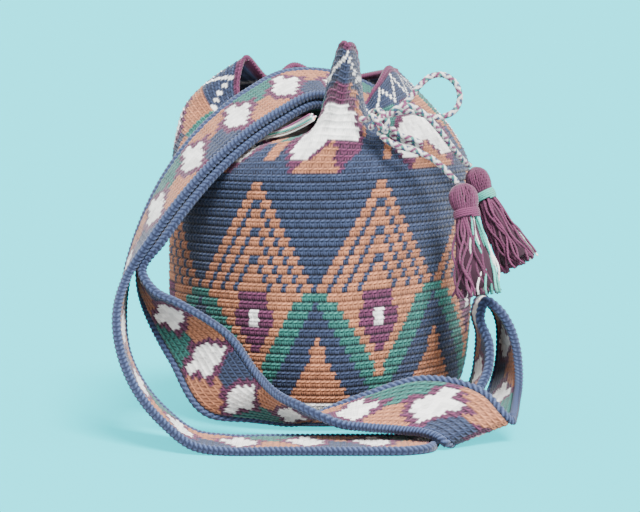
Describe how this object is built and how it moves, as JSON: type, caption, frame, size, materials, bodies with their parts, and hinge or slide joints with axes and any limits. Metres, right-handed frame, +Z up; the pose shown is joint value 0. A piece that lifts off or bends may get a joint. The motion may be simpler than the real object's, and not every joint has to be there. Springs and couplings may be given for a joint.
{
  "type": "crocheted mochila bag",
  "caption": "Crocheted drum-shaped shoulder bag with a gathered collar, a long flat patterned strap with braided edging, and a drawstring tied in a bow with two tassels.",
  "frame": {"origin": "centre of the round base, on the floor", "axes": "+Z up through the mouth, -Y towards the front with the upright pleat of the collar, +X towards the tassels"},
  "size_m": [0.3062, 0.3092, 0.2786],
  "materials": {
    "body_yarn": "matte tapestry crochet",
    "strap_yarn": "matte tapestry crochet",
    "edging_yarn": "matte braided chain",
    "white_yarn": "matte yarn",
    "drawstring_yarn": "matte braided cord",
    "tassel_yarn": "matte yarn bundle",
    "teal_yarn": "matte yarn"
  },
  "bodies": {
    "root": {"bag_body": "body_yarn", "strap": "strap_yarn", "strap_edging_a": "edging_yarn", "strap_edging_b": "edging_yarn", "strap_stitching_a": "white_yarn", "strap_stitching_b": "white_yarn", "drawstring_exit": "drawstring_yarn", "drawstring_knot": "drawstring_yarn", "drawstring_bow": "drawstring_yarn", "drawstring_bight": "drawstring_yarn", "drawstring_end_back": "drawstring_yarn", "drawstring_end_front": "drawstring_yarn", "drawstring_front_run": "drawstring_yarn", "tassel_front": "tassel_yarn", "tassel_back": "tassel_yarn", "tassel_binding_front": "tassel_yarn", "tassel_binding_back": "teal_yarn"}
  },
  "joints": []
}
